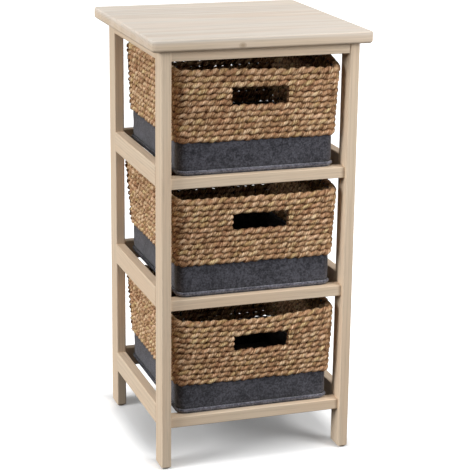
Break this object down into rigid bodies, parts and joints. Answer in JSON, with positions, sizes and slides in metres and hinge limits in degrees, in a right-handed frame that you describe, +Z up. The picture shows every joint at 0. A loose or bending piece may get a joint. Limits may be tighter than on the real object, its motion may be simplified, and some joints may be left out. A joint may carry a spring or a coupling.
{
  "type": "basket drawer unit",
  "caption": "Open wooden stand with an overhanging top board and woven rope and felt baskets that slide out to the front like drawers.",
  "frame": {"origin": "on the floor, under the middle of the top board", "axes": "+Z up, the baskets slide out along -Y, +X to the right seen from the front"},
  "size_m": [0.3534, 0.357, 0.691],
  "materials": {
    "wood": "pale bare softwood, fine straight grain, matt",
    "dowel": "plain beech dowel",
    "screw": "zinc-plated countersunk wood screw",
    "rope": "twisted two-ply plant-fibre rope, warm brown, dry and slightly glossy along the fibres",
    "wire": "black painted steel wire, welded",
    "felt": "dark blue-grey mottled felt, matt and fibrous",
    "hem": "the same felt rolled into a hem",
    "base_felt": "felt over a stiff board"
  },
  "bodies": {
    "stand": {"back_apron": "wood", "back_lower_rail": "wood", "back_middle_rail": "wood", "back_upper_rail": "wood", "front_apron": "wood", "front_left_leg": "wood", "front_lower_rail": "wood", "front_middle_rail": "wood", "front_right_leg": "wood", "front_upper_rail": "wood", "left_apron": "wood", "left_lower_rail": "wood", "left_middle_rail": "wood", "left_upper_rail": "wood", "lower_left_runner": "wood", "lower_right_runner": "wood", "middle_left_runner": "wood", "middle_right_runner": "wood", "rail_dowels": "dowel", "rear_left_leg": "wood", "rear_right_leg": "wood", "right_apron": "wood", "right_lower_rail": "wood", "right_middle_rail": "wood", "right_upper_rail": "wood", "runner_dowels": "dowel", "top_board": "wood", "top_screws": "screw", "upper_left_runner": "wood", "upper_right_runner": "wood"},
    "lower_basket": {"lower_basket_base": "base_felt", "lower_basket_felt_band": "felt", "lower_basket_hem_piping": "hem", "lower_basket_weave": "rope", "lower_basket_wire_frame": "wire"},
    "middle_basket": {"middle_basket_base": "base_felt", "middle_basket_felt_band": "felt", "middle_basket_hem_piping": "hem", "middle_basket_weave": "rope", "middle_basket_wire_frame": "wire"},
    "upper_basket": {"upper_basket_base": "base_felt", "upper_basket_felt_band": "felt", "upper_basket_hem_piping": "hem", "upper_basket_weave": "rope", "upper_basket_wire_frame": "wire"}
  },
  "joints": [
    {"name": "lower_basket_slide", "type": "slide", "parent": "stand", "child": "lower_basket", "axis": [0, -1, 0], "range_m": [0, 0.26]},
    {"name": "middle_basket_slide", "type": "slide", "parent": "stand", "child": "middle_basket", "axis": [0, -1, 0], "range_m": [0, 0.26]},
    {"name": "upper_basket_slide", "type": "slide", "parent": "stand", "child": "upper_basket", "axis": [0, -1, 0], "range_m": [0, 0.26]}
  ]
}
